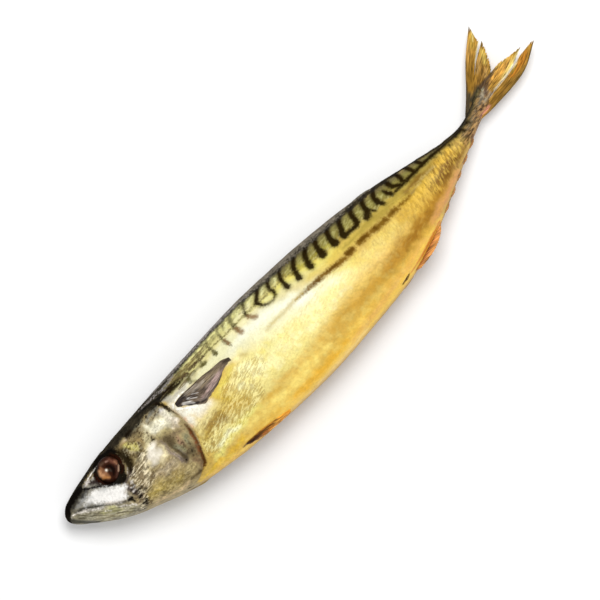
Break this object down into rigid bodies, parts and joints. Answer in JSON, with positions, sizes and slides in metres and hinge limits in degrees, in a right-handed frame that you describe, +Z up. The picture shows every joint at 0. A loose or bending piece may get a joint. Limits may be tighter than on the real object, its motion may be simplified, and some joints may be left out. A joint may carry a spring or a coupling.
{
  "type": "smoked mackerel",
  "caption": "Whole smoked mackerel lying on its side, golden flank up, with striped back, gill cover, finlets and forked tail.",
  "frame": {"origin": "on the table, under the middle of the fish's bounding box", "axes": "+X towards the tail, with the snout at -X; +Y towards the back; +Z up, out of the left flank"},
  "size_m": [0.34, 0.0708, 0.044],
  "materials": {
    "skin": "golden smoked skin, with a dark striped back, satin with a slight metallic sheen",
    "eye": "wet gloss"
  },
  "bodies": {
    "root": {"mackerel": "skin", "eye_left": "eye", "eye_right": "eye"}
  },
  "joints": []
}
